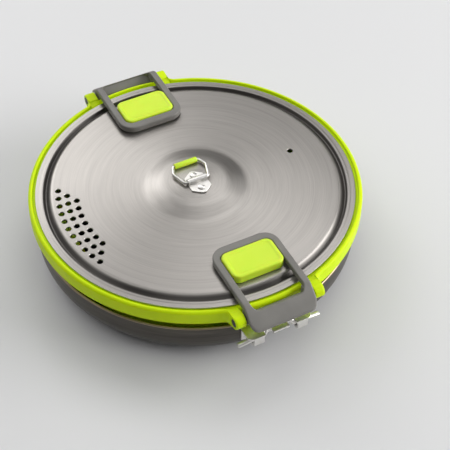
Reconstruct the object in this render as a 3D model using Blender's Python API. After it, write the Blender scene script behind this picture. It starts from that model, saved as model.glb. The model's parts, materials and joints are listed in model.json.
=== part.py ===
"""Collapsible camping pot with a strainer lid, nested in its fry pan.

The pot has two folding silicone steps. Two loop latches hinge on its rim and clamp the lid down,
and the pan's wire handle is folded flat inside the pan, under the pot.
Metres, +Z up. The origin is on the pot's axis, on the surface that the pan stands on.
The front latch and the pan's handle bracket face -Y.
"""
import bpy
import bmesh
from math import cos, degrees, pi, radians, sin, sqrt
from mathutils import Vector

MM = 0.001
SEGMENTS = 48            # facets round every turned part
WIRE_SIDES = 8

# ---- driving dimensions, in millimetres ----
PAN_RADIUS = 105.0
PAN_HEIGHT = 32.4
PAN_CORNER = 24.0
PAN_WALL = 2.0

RIM_TOP = 51.0           # top of the pot's rim ring
RIM_RADIUS = 108.1
RIM_BOTTOM = 40.6
LIP_RADIUS = 105.4       # the lip that stands round the lid
LEDGE_Z = 48.7           # the ledge that the lid rests on
MOUTH_RADIUS = 98.2

BASE_Z = 9.8             # underside of the pot's aluminium base
TIER_STEP = 2.6          # thickness of a stiff silicone tier
FOLD_THICKNESS = 1.0

LID_RADIUS = 103.5
LID_THICKNESS = 1.1
LID_TOP = 51.3           # the lid's flat middle
BOSS_RADIUS = 33.6
BOSS_TOP_RADIUS = 23.0
BOSS_HEIGHT = 3.8
HOLE_RADIUS = 1.9
HOLE_PITCH = 7.0
STRAINER_ROWS = ((77.3, 7), (83.0, 9), (88.7, 11))
VENT_AT = 70.0

HINGE_OUT = 111.3        # latch hinge, out from the pot's axis
HINGE_Z = 47.6
LATCH_HALF_WIDTH = 22.5
LATCH_INNER = -50.3      # latch outline, outward from its hinge
LATCH_OUTER = 10.6
LATCH_TOP = 9.4
LATCH_THICKNESS = 4.4
LATCH_BEND = -4.0        # past this the plate bends down into the tongue
BEND_SOFTNESS = 5.0
TONGUE_SLOPE = 1.1
TONGUE_TAPER = 2.7       # how much thinner the tongue's tip is
WINDOW_INNER = -44.8
WINDOW_OUTER = 2.3
WINDOW_HALF_WIDTH = 18.0
PAD_OUTER = -22.4
WEB_LOW = 6.4            # the thin web under the pad's middle
WEB_HIGH = 7.6
BARREL_FROM = 17.4       # latch barrels, along the hinge
BARREL_TO = 22.4
BARREL_RADIUS = 3.9
HUB_RADIUS = 2.8         # the thinner hub between the barrels
PIN_RADIUS = 2.45
PIN_FROM = 17.8
PIN_TO = 30.3
BORE_GAP = 0.3           # running clearance of every bore
LUG_FROM = 23.3
LUG_TO = 30.0
LUG_RADIUS = 4.3

BRACKET_FRONT = 117.0    # pan's handle bracket
BRACKET_HALF_WIDTH = 22.0
BRACKET_PLATE_Z = 30.6
BRACKET_STEEL = 1.5
BRACKET_FLANGE_LOW = 19.0
KNUCKLE_FROM = 11.5
KNUCKLE_TO = 18.5
KNUCKLE_RADIUS = 4.1
SLOT_HALF_WIDTH = 2.6
PAN_RIVET_TURN = radians(8.4)
PAN_RIVET_Z = 23.8
PAN_RIVET_SHANK = 2.0
PAN_HINGE_OUT = 113.3    # pan handle's pivots, out from the axis
PAN_HINGE_Z = 27.5
HANDLE_WIRE = 1.7
HANDLE_HALF_WIDTH = 8.0
HANDLE_PIVOT_END = 28.0
HANDLE_OVER_RIM = 34.45
HANDLE_TIP = 10.0
GRIP_START = -58.0
GRIP_RADIUS = 3.4
GRIP_BORE = 2.05

BAIL_AXIS_Y = -2.0
BAIL_Z = 57.2
BAIL_WIRE = 1.0
BAIL_REACH = 17.0        # from the bail's axis to its sleeve
BAIL_SLEEVE = 1.9
BAIL_RIVET_FRONT = BAIL_AXIS_Y - 6.6
BAIL_RIVET_REAR = BAIL_AXIS_Y + 5.2
BAIL_RIVET_SHANK = 1.2
STRAP_STEEL = 0.8


def clear_scene():
    for obj in list(bpy.data.objects):
        bpy.data.objects.remove(obj, do_unlink=True)


def material(name, colour, roughness, metallic=0.0):
    """A plain Principled material, made once for each name."""
    found = bpy.data.materials.get(name)
    if found:
        return found
    made = bpy.data.materials.new(name)
    made.use_nodes = True
    shader = made.node_tree.nodes["Principled BSDF"]
    shader.inputs["Base Color"].default_value = (*colour, 1.0)
    shader.inputs["Roughness"].default_value = roughness
    shader.inputs["Metallic"].default_value = metallic
    made.diffuse_color = (*colour, 1.0)
    return made


def add_object(name, mesh, finish, parent=None, at=(0, 0, 0), smooth=35, turn=0.0):
    """Link a mesh as a named object. A parent is given for a piece on a hinge."""
    if smooth:
        mesh.shade_smooth()
        mesh.set_sharp_from_angle(angle=radians(smooth))
    obj = bpy.data.objects.new(name, mesh)
    bpy.context.scene.collection.objects.link(obj)
    obj.parent = parent
    obj.location = Vector(at) * MM
    obj.rotation_euler = (0, 0, turn)
    if finish:
        mesh.materials.append(finish)
    return obj


def hinge_empty(name, at, turn=0.0):
    """An empty on a hinge's axis, which carries what swings there."""
    empty = bpy.data.objects.new(name, None)
    bpy.context.scene.collection.objects.link(empty)
    empty.location = Vector(at) * MM
    empty.rotation_euler = (0, 0, turn)
    return empty


def mesh_from(name, verts, faces):
    """A closed mesh from points in millimetres, with its faces turned outwards."""
    mesh = bpy.data.meshes.new(name)
    mesh.from_pydata([Vector(v) * MM for v in verts], [], faces)
    work = bmesh.new()
    work.from_mesh(mesh)
    bmesh.ops.recalc_face_normals(work, faces=work.faces)
    work.to_mesh(mesh)
    work.free()
    return mesh


def turned(name, profile, segments=SEGMENTS, ring=False):
    """Revolve (radius, z) points about Z.

    A ring's outline closes on itself. Any other outline starts and ends on the axis.
    """
    verts, rows = [], []
    for radius, z in profile:
        if radius < 1e-6:
            rows.append([len(verts)] * segments)
            verts.append((0, 0, z))
            continue
        rows.append(list(range(len(verts), len(verts) + segments)))
        for k in range(segments):
            angle = 2 * pi * k / segments
            verts.append((radius * cos(angle), radius * sin(angle), z))
    faces = []
    pairs = list(zip(rows, rows[1:]))
    if ring:
        pairs.append((rows[-1], rows[0]))
    for low, high in pairs:
        for k in range(segments):
            n = (k + 1) % segments
            face = []
            for v in (low[k], low[n], high[n], high[k]):
                if v not in face:
                    face.append(v)
            faces.append(face)
    return mesh_from(name, verts, faces)


def arc(centre, radius, start, end, count):
    """Points round a circle, from one angle to another in degrees."""
    steps = [radians(start + (end - start) * k / (count - 1)) for k in range(count)]
    return [(centre[0] + radius * cos(a), centre[1] + radius * sin(a)) for a in steps]


def prism(name, outline, low, high, axis="Z"):
    """Extrude a convex or simple outline from low to high along an axis."""
    count = len(outline)
    verts = []
    for level in (low, high):
        for a, b in outline:
            verts.append({"Z": (a, b, level), "X": (level, a, b), "Y": (a, level, b)}[axis])
    faces = [list(range(count)), list(range(count, 2 * count))]
    faces += [[k, (k + 1) % count, count + (k + 1) % count, count + k] for k in range(count)]
    return mesh_from(name, verts, faces)


def rod(name, radius, low, high, axis="X", centre=(0, 0), sides=16):
    """A round rod along an axis."""
    outline = arc(centre, radius, 0, 360 * (sides - 1) / sides, sides)
    return prism(name, outline, low, high, axis)


def rounded_path(points, radius, steps=4):
    """A polyline with each inner corner turned into an arc of about the given radius."""
    points = [Vector(p) for p in points]
    path = [points[0]]
    for before, corner, after in zip(points, points[1:], points[2:]):
        into = (corner - before).normalized()
        out = (after - corner).normalized()
        bend = into.angle(out)
        if bend < radians(4):
            path.append(corner)
            continue
        reach = min(radius * sin(bend / 2) / cos(bend / 2),
                    0.49 * (corner - before).length, 0.49 * (after - corner).length)
        start, end = corner - into * reach, corner + out * reach
        for k in range(steps + 1):
            t = k / steps
            path.append(start.lerp(corner, t).lerp(corner.lerp(end, t), t))
    path.append(points[-1])
    return path


def tube(name, path, radius, sides=WIRE_SIDES, closed=False):
    """Sweep a circle along a path, without twist, with flat ends."""
    path = [Vector(p) for p in path]
    count = len(path)
    tangents = []
    for k in range(count):
        after = path[(k + 1) % count] if closed else path[min(k + 1, count - 1)]
        before = path[k - 1] if closed or k else path[0]
        tangents.append((after - before).normalized())
    normal = tangents[0].orthogonal().normalized()
    verts = []
    for point, tangent in zip(path, tangents):
        normal = (normal - tangent * normal.dot(tangent)).normalized()
        side = tangent.cross(normal)
        for k in range(sides):
            angle = 2 * pi * (k + 0.5) / sides
            verts.append(point + radius * (cos(angle) * normal + sin(angle) * side))
    faces = []
    for k in range(count if closed else count - 1):
        here, there = k * sides, ((k + 1) % count) * sides
        for j in range(sides):
            n = (j + 1) % sides
            faces.append([here + j, here + n, there + n, there + j])
    if not closed:
        faces.append(list(range(sides)))
        faces.append(list(range((count - 1) * sides, count * sides)))
    return mesh_from(name, verts, faces)


def combine(target, mesh, operation="DIFFERENCE", parent=None, turn=0.0):
    """Cut a hidden shape from an object, or join it on."""
    tool = add_object(f"{target.name}_{operation.lower()}_{len(target.modifiers)}", mesh, None,
                      parent, smooth=0, turn=turn)
    tool.hide_render = True
    tool.hide_viewport = False
    tool.display_type = "WIRE"
    step = target.modifiers.new(tool.name, "BOOLEAN")
    step.operation = operation
    step.object = tool
    step.solver = "EXACT"
    return tool


def join_meshes(name, meshes):
    """Put separate closed shapes in one cutter mesh."""
    work = bmesh.new()
    for mesh in meshes:
        work.from_mesh(mesh)
    joined = bpy.data.meshes.new(name)
    work.to_mesh(joined)
    work.free()
    return joined


# ---- fry pan ----

def pan_wall(finish):
    """The pan: a shallow turned dish with a wide corner and a bare, rounded edge."""
    centre = (PAN_RADIUS - PAN_CORNER, PAN_CORNER)
    inner = PAN_CORNER - PAN_WALL
    edge = PAN_RADIUS - PAN_WALL / 2
    profile = [(0, 0), *arc(centre, PAN_CORNER, -90, 0, 6)]
    profile += arc((edge, PAN_HEIGHT - PAN_WALL / 2), PAN_WALL / 2, 0, 180, 5)
    profile += [*arc(centre, inner, 0, -90, 6), (0, PAN_WALL)]
    return add_object("pan_body", turned("pan_body", profile), finish)


def pan_bracket(steel, pan):
    """The handle bracket: a flange riveted to the wall, a slotted plate and two knuckles."""
    inner = PAN_RADIUS + 0.35
    outer = inner + BRACKET_STEEL
    plate_top = BRACKET_PLATE_Z + BRACKET_STEEL
    half, corner, back = BRACKET_HALF_WIDTH, 4.0, -PAN_RADIUS + 2.0
    flange = turned("pan_bracket", [(inner, BRACKET_FLANGE_LOW), (outer, BRACKET_FLANGE_LOW),
                                    (outer, plate_top), (inner, plate_top)], ring=True)
    bracket = add_object("pan_bracket", flange, steel)
    wide, far, near = half - 1.0, -PAN_RADIUS - 8.0, -PAN_RADIUS + 5.0
    trim = prism("trim", [(-wide, near), (-wide, far), (wide, far), (wide, near)],
                 0, PAN_HEIGHT * 2)
    combine(bracket, trim, "INTERSECT")
    bend_y = -BRACKET_FRONT + corner
    outline = [(-half, back), *arc((-half + corner, bend_y), corner, 180, 270, 4)]
    outline += [*arc((half - corner, bend_y), corner, 270, 360, 4), (half, back)]
    combine(bracket, prism("plate", outline, BRACKET_PLATE_Z, plate_top), "UNION")
    axis = (-PAN_HINGE_OUT, PAN_HINGE_Z)
    knuckles = []
    for side in (-1, 1):
        span = sorted((side * KNUCKLE_FROM, side * KNUCKLE_TO))
        knuckles.append(rod("knuckle", KNUCKLE_RADIUS, *span, "X", axis, 16))
    combine(bracket, join_meshes("knuckles", knuckles), "UNION")
    slots = []
    slot_back, slot_front = -outer - 1.35, -BRACKET_FRONT - 3.0
    for side in (-1, 1):
        a = side * HANDLE_HALF_WIDTH - SLOT_HALF_WIDTH
        b = side * HANDLE_HALF_WIDTH + SLOT_HALF_WIDTH
        slots.append(prism("slot", [(a, slot_front), (b, slot_front), (b, slot_back),
                                    (a, slot_back)], BRACKET_PLATE_Z - 0.6, plate_top + 3.0))
    combine(bracket, join_meshes("slots", slots))
    bore = rod("bore", HANDLE_WIRE + BORE_GAP, -KNUCKLE_TO - 2.0, KNUCKLE_TO + 2.0, "X", axis, 12)
    combine(bracket, bore)
    combine(bracket, turned("wall_clearance", [
        (0, -5), (inner, -5), (inner, PAN_HEIGHT + 5), (0, PAN_HEIGHT + 5)]))
    for turn in (-PAN_RIVET_TURN, PAN_RIVET_TURN):
        hole = rod("hole", PAN_RIVET_SHANK + BORE_GAP, far, -PAN_RADIUS + 6.0, "Y",
                   (0, PAN_RIVET_Z), 10)
        combine(bracket, hole, turn=turn)
        combine(pan, hole, turn=turn)


def pan_rivets(steel):
    """Two rivets through the pan wall and the bracket's flange."""
    out, inn = PAN_RADIUS + 3.9, PAN_RADIUS - 4.3
    face, head, shank = 2.4, 3.3, PAN_RIVET_SHANK
    profile = [(0, -out), (face, -out), (head, -out + 0.9), (head, -out + 1.2),
               (shank, -out + 1.2), (shank, -inn - 1.3), (head, -inn - 1.3), (head, -inn - 0.7),
               (face, -inn), (0, -inn)]
    for name, turn in (("pan_rivet_left", -PAN_RIVET_TURN), ("pan_rivet_right", PAN_RIVET_TURN)):
        mesh = turned(name, profile, 12)
        for vert in mesh.vertices:
            a, b, c = vert.co
            vert.co = (a, c, -b)
        add_object(name, mesh, steel, at=(0, 0, PAN_RIVET_Z), turn=turn)


def handle_path():
    """The wire from one pivot, over the rim, down the wall and out along the pan's floor."""
    floor_z = PAN_WALL + GRIP_RADIUS + 0.4
    bend = PAN_CORNER - floor_z
    centre = (PAN_RADIUS - PAN_CORNER, PAN_CORNER)
    x = HANDLE_HALF_WIDTH
    down = [(-out, z) for out, z in arc(centre, bend, 0, -90, 8)]
    points = [(HANDLE_PIVOT_END, -PAN_HINGE_OUT, PAN_HINGE_Z), (x, -PAN_HINGE_OUT, PAN_HINGE_Z),
              (x, -PAN_HINGE_OUT, HANDLE_OVER_RIM), (x, down[0][0], HANDLE_OVER_RIM)]
    side = rounded_path(points + [(x, *down[0])], 2.6)[:-1]
    side += [Vector((x, *p)) for p in down]
    side.append(Vector((x, GRIP_START, floor_z)))
    tip = [Vector((px, py, floor_z)) for px, py in arc((0, HANDLE_TIP), x, 0, 180, 9)]
    other = [Vector((-p.x, p.y, p.z)) for p in reversed(side)]
    return side, tip, other


def pan_handle(steel, silicone):
    """The folded wire handle and the silicone grip over its closed end."""
    hinge = Vector((0, -PAN_HINGE_OUT, PAN_HINGE_Z))
    swing = hinge_empty("pan_handle_hinge", hinge)
    side, tip, other = handle_path()
    wire = [p - hinge for p in side + tip + other]
    add_object("pan_handle_wire", tube("pan_handle_wire", wire, HANDLE_WIRE), steel, swing)
    start, end = side[-1], other[0]
    grip_line = [p - hinge for p in [start, *tip, end]]
    grip = add_object("pan_handle_grip", tube("pan_handle_grip", grip_line, GRIP_RADIUS, 10),
                      silicone, swing)
    away = Vector((0, -4, 0))
    bore_line = [grip_line[0] + away, *grip_line[1:-1], grip_line[-1] + away]
    combine(grip, tube("grip_bore", bore_line, GRIP_BORE), parent=swing)


# ---- collapsible pot ----

def pot_base(aluminium, silicone, steel):
    """The aluminium base, the crimp ring round it and the silicone tier that it holds."""
    cup = [(0, BASE_Z), (75.5, BASE_Z), *arc((75.5, BASE_Z + 5.3), 5.3, -60, 0, 3)]
    cup += [(80.8, 21.0), (79.2, 21.0), *arc((75.5, BASE_Z + 5.3), 3.7, 0, -90, 3)]
    cup += [(0, BASE_Z + 1.6)]
    add_object("pot_base", turned("pot_base", cup), aluminium)
    tier = [(81.1, 14.0), (82.3, 14.0), (82.3, 19.5), (84.2, 20.2), (85.0, 35.0), (82.2, 35.0),
            (81.6, 21.3), (81.1, 21.0)]
    add_object("base_tier", turned("base_tier", tier, ring=True), silicone)
    crimp = [(82.6, 14.0), (83.8, 14.0), (84.2, 18.8), (82.6, 18.8)]
    add_object("base_crimp_ring", turned("base_crimp_ring", crimp, ring=True), steel)


def stiff_tier(name, silicone, inner, low, high):
    """One stiff band of the silicone wall, a little wider at the top."""
    outer = inner + TIER_STEP
    band = [(inner, low), (outer, low), (outer + 0.5, high), (inner, high)]
    add_object(name, turned(name, band, ring=True), silicone)


def soft_fold(name, silicone, inner, low, high):
    """A thin fold, turned up between two tiers."""
    band = [(inner, low), (inner + FOLD_THICKNESS, low), (inner + FOLD_THICKNESS, high),
            (inner, high)]
    add_object(name, turned(name, band, ring=True), silicone)


def rim_ring(nylon):
    """The rim ring: a ledge and lip for the lid, and four lugs for the latch pins."""
    section = [(92.5, 39.9), (104.6, 39.9), (105.4, RIM_BOTTOM), (106.9, RIM_BOTTOM),
               (RIM_RADIUS, 41.8), (RIM_RADIUS, 49.3), (107.4, 50.6), (106.5, RIM_TOP),
               (105.8, 50.8), (LIP_RADIUS, 50.2), (LIP_RADIUS, LEDGE_Z), (MOUTH_RADIUS, LEDGE_Z),
               (MOUTH_RADIUS, 42.6), (92.5, 42.3)]
    ring = add_object("rim_ring", turned("rim_ring", section, ring=True), nylon)
    for turn in (0, pi):
        pivot = hinge_empty(f"lug_frame_{round(degrees(turn))}", (0, 0, 0), turn)
        for side in (-1, 1):
            span = sorted((side * LUG_FROM, side * LUG_TO))
            nose = arc((-HINGE_OUT, HINGE_Z), LUG_RADIUS, 110, 270, 9)
            outline = [(-105.6, 50.6), (-107.4, 50.9), *nose, (-105.5, 41.2), (-103.2, 40.4)]
            combine(ring, prism("lug", outline, *span, "X"), "UNION", pivot)
        relief = prism("relief", [(-112, 37), (-105.5, 37), (-105.5, 43.4), (-112, 46)],
                       -LUG_FROM, LUG_FROM, "X")
        combine(ring, relief, "DIFFERENCE", pivot)
        combine(ring, rod("lug_bore", PIN_RADIUS + BORE_GAP, -LUG_TO - 2.0, LUG_TO + 2.0, "X",
                          (-HINGE_OUT, HINGE_Z), 12), "DIFFERENCE", pivot)


# ---- latches ----

def corner_inset(distance, radius):
    """How far a rounded corner pulls an edge in, at a distance from the end."""
    if distance >= radius:
        return 0.0
    return radius - sqrt(max(radius ** 2 - (radius - distance) ** 2, 0.0))


def latch_top(out):
    """Height of the latch's top face: flat, then bent down past the rim."""
    if out <= LATCH_BEND:
        return LATCH_TOP
    reach = out - LATCH_BEND
    return LATCH_TOP - TONGUE_SLOPE * (sqrt(reach ** 2 + BEND_SOFTNESS ** 2) - BEND_SOFTNESS)


def latch_bottom(out):
    """Height of the plate's underside. The tongue thins towards its tip."""
    share = max(out - LATCH_BEND, 0.0) / (LATCH_OUTER - LATCH_BEND)
    return latch_top(out) - LATCH_THICKNESS + TONGUE_TAPER * share


def latch_mesh(name):
    """A loop plate with a finger window, lofted outwards in stations."""
    inner_round, outer_round, window_round = 10.0, 5.0, 5.0
    stations = [LATCH_INNER + d for d in (0.0, 0.4, 1.5, 3.2, 5.2)]
    stations += [WINDOW_INNER + d for d in (0.0, 0.5, 1.6, 3.2, 5.0)]
    stations += [-22.0, LATCH_BEND, -2.7, -1.2, 0.4, 1.1, 1.8, WINDOW_OUTER, 4.2, 6.2, 8.0,
                 9.6, LATCH_OUTER]
    stations.insert(stations.index(-22.0) + 1, WINDOW_OUTER - window_round - 3.0)
    stations = sorted(set(round(s, 3) for s in stations))
    verts, opening = [], []
    for out in stations:
        inset = max(corner_inset(out - LATCH_INNER, inner_round),
                    corner_inset(LATCH_OUTER - out, outer_round))
        wide = LATCH_HALF_WIDTH - inset
        gap = min(out - WINDOW_INNER, WINDOW_OUTER - out)
        in_window = gap > -1e-6
        slot = WINDOW_HALF_WIDTH - corner_inset(max(gap, 0.0), window_round)
        slot = min(slot, wide - 1.0)
        opening.append(in_window)
        for z in (latch_top(out), latch_bottom(out)):
            verts += [(x, -out, z) for x in (-wide, -slot, slot, wide)]
    faces = []
    last = len(stations) - 1
    for k in range(last):
        a, b = 8 * k, 8 * (k + 1)
        open_here = opening[k] and opening[k + 1]
        for col in ((0, 2) if open_here else (0, 1, 2)):
            faces.append([a + col, a + col + 1, b + col + 1, b + col])
            faces.append([a + 4 + col, a + 5 + col, b + 5 + col, b + 4 + col])
        walls = (0, 3, 1, 2) if open_here else (0, 3)
        for col in walls:
            faces.append([a + col, b + col, b + 4 + col, a + 4 + col])
        before_open = k > 0 and opening[k - 1] and opening[k]
        if open_here != before_open and k > 0:
            faces.append([a + 1, a + 2, a + 6, a + 5])
    for end in (0, 8 * last):
        for col in (0, 1, 2):
            faces.append([end + col, end + col + 1, end + col + 5, end + col + 4])
    return mesh_from(name, verts, faces)


def rounded_block(name, half_width, inner, outer, low, high, corner, edge):
    """A pad: a rounded rectangle with a softened top edge."""
    side, near, far = half_width - corner, -outer + corner, -inner - corner
    centres = [(side, far, 0), (-side, far, 90), (-side, near, 180), (side, near, 270)]
    levels = ((0.0, low), (0.0, high - edge), (0.3 * edge, high - 0.3 * edge), (edge, high))
    verts, loop = [], 0
    for inset, z in levels:
        ring = []
        for cx, cy, start in centres:
            ring += arc((cx, cy), corner - inset, start, start + 90, 4)
        loop = len(ring)
        verts += [(x, y, z) for x, y in ring]
    faces = [list(range(loop)), list(range(3 * loop, 4 * loop))]
    for level in range(3):
        for k in range(loop):
            n = (k + 1) % loop
            faces.append([level * loop + k, level * loop + n, (level + 1) * loop + n,
                          (level + 1) * loop + k])
    return mesh_from(name, verts, faces)


def latch(side_name, turn, plastic, silicone, pin_finish):
    """One latch: the loop frame, the silicone pad in its window and its two pins."""
    out = -HINGE_OUT * cos(turn)
    swing = hinge_empty(f"{side_name}_latch_hinge", (0, out, HINGE_Z), turn)
    frame = add_object(f"{side_name}_latch_frame", latch_mesh(f"{side_name}_latch_frame"),
                       plastic, swing)
    root, near, far = WINDOW_HALF_WIDTH + 1.0, -PAD_OUTER + 3.0, -WINDOW_INNER + 1.0
    web = prism("web", [(-root, near), (root, near), (root, far), (-root, far)],
                WEB_LOW, WEB_HIGH)
    combine(frame, web, "UNION", swing)
    barrels = []
    for side in (-1, 1):
        span = sorted((side * BARREL_FROM, side * BARREL_TO))
        barrels.append(rod("barrel", BARREL_RADIUS, *span, "X", (0, 0), 16))
    combine(frame, join_meshes("barrels", barrels), "UNION", swing)
    hub_end, spine_end = PIN_FROM - BORE_GAP, BARREL_FROM + 1.0
    spine = [(-0.2, 2.6), (-WINDOW_OUTER, 4.6), (-4.2, 2.8), (-3.4, -0.2), (-2.0, -1.6)]
    for shape in (rod("hub", HUB_RADIUS, -hub_end, hub_end, "X", (0, 0), 16),
                  prism("spine", spine, -spine_end, spine_end, "X")):
        combine(frame, shape, "UNION", swing)
    bores = []
    for side in (-1, 1):
        span = sorted((side * hub_end, side * (LATCH_HALF_WIDTH + 1.5)))
        bores.append(rod("bore", PIN_RADIUS + BORE_GAP, *span, "X", (0, 0), 12))
    combine(frame, join_meshes("bores", bores), parent=swing)
    pad = add_object(f"{side_name}_latch_pad", rounded_block(
        f"{side_name}_latch_pad", WINDOW_HALF_WIDTH - 0.5, WINDOW_INNER + 0.5, PAD_OUTER,
        4.1, 10.2, 4.8, 1.2), silicone, swing)
    root, near, far = WINDOW_HALF_WIDTH + 6.0, -PAD_OUTER + 2.6, -WINDOW_INNER + 3.0
    slit = prism("slit", [(-root, near), (root, near), (root, far), (-root, far)],
                 WEB_LOW - BORE_GAP, WEB_HIGH + BORE_GAP)
    combine(pad, slit, parent=swing)
    for side, hand in ((-1, "left"), (1, "right")):
        span = sorted((side * PIN_FROM, side * PIN_TO))
        pin = rod(f"{side_name}_pin_{hand}", PIN_RADIUS, *span, "X", (0, 0), 12)
        add_object(f"{side_name}_pin_{hand}", pin, pin_finish, swing)


# ---- lid ----

def lid_top_profile():
    """The lid's upper face from the axis outwards: boss, flat, groove, bead and flange."""
    boss = LID_TOP + BOSS_HEIGHT
    return [(0, boss), (BOSS_TOP_RADIUS, boss), (25.2, boss - 0.35), (31.4, LID_TOP + 0.5),
            (BOSS_RADIUS, LID_TOP + 0.05), (60.0, LID_TOP), (91.8, LID_TOP), (93.2, LID_TOP - 0.6),
            (94.4, LID_TOP - 2.6), (95.8, LID_TOP - 3.3), (97.3, LID_TOP - 2.4),
            (98.3, LID_TOP - 1.0), (99.9, LID_TOP - 0.75), (100.6, LID_TOP - 1.0),
            (LID_RADIUS, LID_TOP - 1.0)]


def lid_disc(aluminium):
    """The pressed lid, with three arcs of strainer holes, a vent and two rivet holes."""
    top = lid_top_profile()
    under = [(r, z - LID_THICKNESS) for r, z in reversed(top)]
    lid = add_object("lid", turned("lid", top + under), aluminium)
    holes = []
    for radius, count in STRAINER_ROWS:
        step = HOLE_PITCH / radius
        for k in range(count):
            angle = pi + step * (k - (count - 1) / 2)
            centre = (radius * cos(angle), radius * sin(angle))
            holes.append(rod("hole", HOLE_RADIUS, LID_TOP - 6, LID_TOP + 3, "Z", centre, 8))
    holes.append(rod("vent", HOLE_RADIUS, LID_TOP - 6, LID_TOP + 3, "Z", (VENT_AT, 0), 8))
    for y in (BAIL_RIVET_REAR, BAIL_RIVET_FRONT):
        holes.append(rod("rivet_hole", BAIL_RIVET_SHANK + BORE_GAP, LID_TOP, LID_TOP + 8, "Z",
                         (0, y), 8))
    combine(lid, join_meshes("lid_holes", holes))


def bail_bracket(steel):
    """A strap folded over the bail's wire, with a pointed plate on each side."""
    seat = LID_TOP + BOSS_HEIGHT + BORE_GAP
    crown = BAIL_WIRE + 0.35
    line = [(9.0, seat, 0.9), (8.2, seat, 2.2), (5.2, seat, 6.6), (2.3, seat, 6.8)]
    line += [(crown + 0.25, seat + 0.7, 6.8), (crown, BAIL_Z, 6.8)]
    for y, z in arc((0, BAIL_Z), crown, 36, 144, 4):
        line.append((y, z, 6.8))
    line += [(-crown, BAIL_Z, 6.8), (-crown - 0.25, seat + 0.7, 6.8), (-2.3, seat, 6.8),
             (-7.0, seat, 7.0), (-10.6, seat, 2.4), (-11.4, seat, 1.0)]
    verts = []
    for k, (y, z, wide) in enumerate(line):
        before, after = line[max(k - 1, 0)], line[min(k + 1, len(line) - 1)]
        along = Vector((after[0] - before[0], after[1] - before[1])).normalized()
        up = Vector((along.y, -along.x))
        top = Vector((y, z)) + up * STRAP_STEEL
        for point in (Vector((y, z)), top):
            verts += [(x, point.x + BAIL_AXIS_Y, point.y) for x in (-wide, wide)]
    faces = []
    for k in range(len(line) - 1):
        a, b = 4 * k, 4 * (k + 1)
        for one, two in ((0, 1), (1, 3), (3, 2), (2, 0)):
            faces.append([a + one, a + two, b + two, b + one])
    end = 4 * (len(line) - 1)
    faces += [[0, 1, 3, 2], [end, end + 1, end + 3, end + 2]]
    bracket = add_object("bail_bracket", mesh_from("bail_bracket", verts, faces), steel, smooth=30)
    holes = []
    for y in (BAIL_RIVET_REAR, BAIL_RIVET_FRONT):
        holes.append(rod("bracket_hole", BAIL_RIVET_SHANK + BORE_GAP, seat - 2, seat + 2, "Z",
                         (0, y), 8))
    combine(bracket, join_meshes("bail_bracket_holes", holes))


def bail_rivets(steel):
    """Two rivets that hold the strap on the lid's boss."""
    top = LID_TOP + BOSS_HEIGHT + STRAP_STEEL + 2 * BORE_GAP
    under = LID_TOP + BOSS_HEIGHT - LID_THICKNESS - BORE_GAP
    shank = BAIL_RIVET_SHANK
    profile = [(0, under - 1.0), (2.0, under - 1.0), (2.6, under - 0.4), (2.6, under),
               (shank, under), (shank, top), (2.3, top), (2.3, top + 0.4), (1.5, top + 0.9),
               (0, top + 0.9)]
    for name, y in (("bail_rivet_rear", BAIL_RIVET_REAR), ("bail_rivet_front", BAIL_RIVET_FRONT)):
        add_object(name, turned(name, profile, 12), steel, at=(0, y, 0))


def bail(steel, silicone):
    """The lid's wire bail, a closed loop, with a silicone sleeve on its far side."""
    swing = hinge_empty("bail_hinge", (0, BAIL_AXIS_Y, BAIL_Z))
    half = [(8.4, 0, 0), (11.6, 10.6, 0), (9.2, BAIL_REACH, 0)]
    loop = [Vector((-6.0, 0, 0)), Vector((6.0, 0, 0)), *[Vector(p) for p in half]]
    loop += [Vector((-x, y, z)) for x, y, z in reversed(half)]
    smooth = []
    count = len(loop)
    for k in range(count):
        before, corner, after = loop[k - 1], loop[k], loop[(k + 1) % count]
        smooth += rounded_path([before.lerp(corner, 0.5), corner, corner.lerp(after, 0.5)], 2.0,
                               3)[1:-1]
    add_object("bail_wire", tube("bail_wire", smooth, BAIL_WIRE, closed=True), steel, swing)
    half_length = 8.0
    sleeve = add_object("bail_sleeve", rod("bail_sleeve", BAIL_SLEEVE, -half_length, half_length,
                                           "X", (BAIL_REACH, 0), 12), silicone, swing)
    combine(sleeve, rod("sleeve_bore", BAIL_WIRE + BORE_GAP, -half_length - 2, half_length + 2,
                        "X", (BAIL_REACH, 0), 10), parent=swing)


def main():
    clear_scene()
    anodised = material("hard_anodised_pan", (0.105, 0.098, 0.092), 0.42, 0.75)
    turned_lid = material("turned_lid", (0.34, 0.32, 0.30), 0.33, 0.85)
    lime = material("lime_nylon", (0.45, 0.72, 0.01), 0.42)
    lime_soft = material("lime_silicone", (0.52, 0.82, 0.04), 0.5)
    grey = material("grey_nylon", (0.13, 0.13, 0.12), 0.5)
    steel = material("stainless_steel", (0.75, 0.74, 0.72), 0.22, 1.0)

    pan = pan_wall(anodised)
    pan_bracket(steel, pan)
    pan_rivets(steel)
    pan_handle(steel, lime_soft)
    pot_base(anodised, lime_soft, steel)
    soft_fold("lower_fold", lime_soft, 85.45, 15.4, 34.6)
    stiff_tier("mid_tier", lime_soft, 86.8, 15.0, 37.0)
    soft_fold("upper_fold", lime_soft, 90.35, 18.4, 36.6)
    stiff_tier("rim_tier", lime_soft, 91.75, 18.0, 39.6)
    rim_ring(lime)
    latch("front", 0.0, grey, lime_soft, grey)
    latch("rear", pi, grey, lime_soft, grey)
    lid_disc(turned_lid)
    bail_bracket(steel)
    bail_rivets(steel)
    bail(steel, lime_soft)


main()
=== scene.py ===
"""Looks of the nesting camping pot: fine turned, moulded and bent pieces over the CAD frame."""

import json
import math
import bmesh
import bpy
from mathutils import Matrix, Vector


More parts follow.
